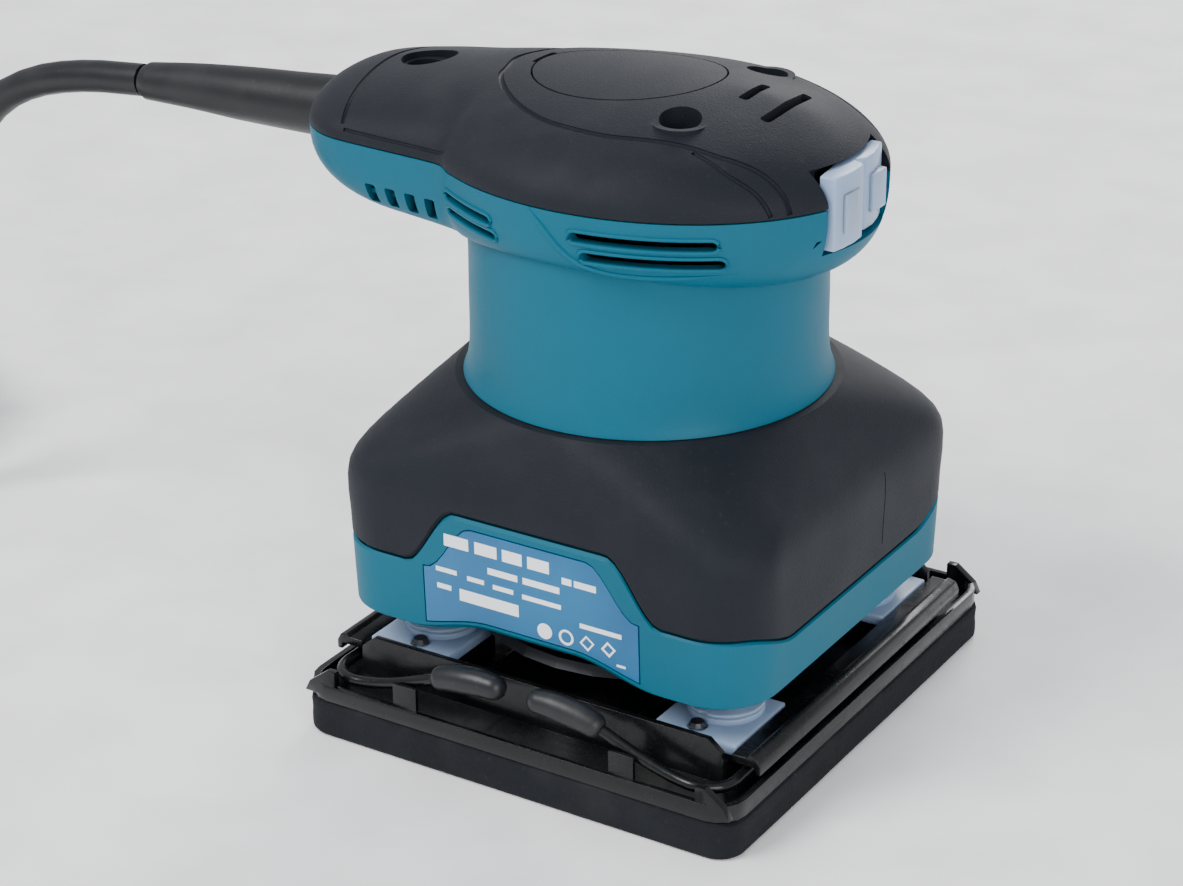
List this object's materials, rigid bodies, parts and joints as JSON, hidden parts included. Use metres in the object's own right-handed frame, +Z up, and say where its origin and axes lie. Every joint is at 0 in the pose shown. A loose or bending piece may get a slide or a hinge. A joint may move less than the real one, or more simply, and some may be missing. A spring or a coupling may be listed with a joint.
{
  "type": "palm orbital sander",
  "caption": "Palm orbital finishing sander: round grip on a square base, orbiting clamped pad, wire paper levers, rocker switch and mains cord.",
  "frame": {"origin": "where the motor's axis meets the underside of the foam pad, which is the surface the sander stands on", "axes": "+Z up along the motor's axis, +X towards the switch, -X towards the cord, -Y towards the label and the levers"},
  "size_m": [0.3763, 0.1446, 0.1345],
  "materials": {
    "teal_plastic": "fine satin moulding grain",
    "soft_charcoal": "soft-touch, fine grain",
    "black_plastic": "smooth black",
    "foam": "dense backing foam",
    "nylon": "translucent natural nylon",
    "label": "printed film",
    "steel": "ground",
    "dark_steel": "blackened",
    "copper": "enamelled copper",
    "carbon": "pressed carbon",
    "brass": "plain brass",
    "cord": "matte sheath"
  },
  "bodies": {
    "housing": {"base_boot": "soft_charcoal", "base_housing": "teal_plastic", "bearing_plate": "dark_steel", "brush_holder_1": "brass", "brush_holder_2": "brass", "brush_spring_1": "steel", "brush_spring_2": "steel", "cable_clamp": "black_plastic", "capacitor": "label", "carbon_brush_1": "carbon", "carbon_brush_2": "carbon", "clamp_screw_1": "steel", "clamp_screw_2": "steel", "cord_coil": "cord", "cord_guard": "cord", "cord_tie": "black_plastic", "cover_screw_1": "steel", "cover_screw_2": "steel", "cover_screw_3": "steel", "field_coil_1": "copper", "field_coil_2": "copper", "field_stator": "dark_steel", "inner_lead": "cord", "lower_bearing": "steel", "motor_housing": "teal_plastic", "plug_body": "cord", "plug_pin_1": "brass", "plug_pin_2": "brass", "power_cord": "cord", "rating_label": "label", "switch_body": "black_plastic", "top_cover": "soft_charcoal", "top_inlay": "soft_charcoal", "upper_bearing": "steel", "upper_bracket": "black_plastic"},
    "rotor": {"motor_shaft": "steel", "armature_core": "dark_steel", "armature_windings": "copper", "commutator": "copper", "fan": "dark_steel", "counterweight": "dark_steel"},
    "pad": {"foam_pad": "foam", "pad_plate": "black_plastic", "pad_bearing": "steel", "leg_1": "nylon", "leg_2": "nylon", "leg_3": "nylon", "leg_4": "nylon", "leg_screw_1": "dark_steel", "leg_screw_2": "dark_steel", "leg_screw_3": "dark_steel", "leg_screw_4": "dark_steel"},
    "front_lever": {"front_lever": "black_plastic", "front_lever_grip": "black_plastic"},
    "rear_lever": {"rear_lever": "black_plastic", "rear_lever_grip": "black_plastic"},
    "front_clamp": {"front_clamp": "black_plastic"},
    "rear_clamp": {"rear_clamp": "black_plastic"},
    "switch": {"switch_rocker": "nylon"}
  },
  "joints": [
    {"name": "motor_spin", "type": "hinge", "parent": "housing", "child": "rotor", "pos_m": [0, 0, 0], "axis": [0, 0, 1], "continuous": true},
    {"name": "pad_orbit", "type": "hinge", "parent": "rotor", "child": "pad", "pos_m": [0.0008, 0, 0], "axis": [0, 0, 1], "continuous": true},
    {"name": "front_lever_swing", "type": "hinge", "parent": "pad", "child": "front_lever", "pos_m": [0.0468, 0, 0.0126], "axis": [0, 1, 0], "range_deg": [0, 75]},
    {"name": "rear_lever_swing", "type": "hinge", "parent": "pad", "child": "rear_lever", "pos_m": [-0.0452, 0, 0.0126], "axis": [0, -1, 0], "range_deg": [0, 75]},
    {"name": "front_clamp_lift", "type": "hinge", "parent": "pad", "child": "front_clamp", "pos_m": [0.0455, 0, 0.0158], "axis": [0, -1, 0], "range_deg": [0, 12]},
    {"name": "rear_clamp_lift", "type": "hinge", "parent": "pad", "child": "rear_clamp", "pos_m": [-0.0439, 0, 0.0158], "axis": [0, 1, 0], "range_deg": [0, 12]},
    {"name": "switch_tip", "type": "hinge", "parent": "housing", "child": "switch", "pos_m": [0.0422, 0, 0.1171], "axis": [0, 0, -1], "range_deg": [0, 7]}
  ],
  "couplings": [
    {"joint": "pad_orbit", "follows": "motor_spin", "ratio": -1},
    {"joint": "front_clamp_lift", "follows": "front_lever_swing", "ratio": 0.16},
    {"joint": "rear_clamp_lift", "follows": "rear_lever_swing", "ratio": 0.16}
  ]
}
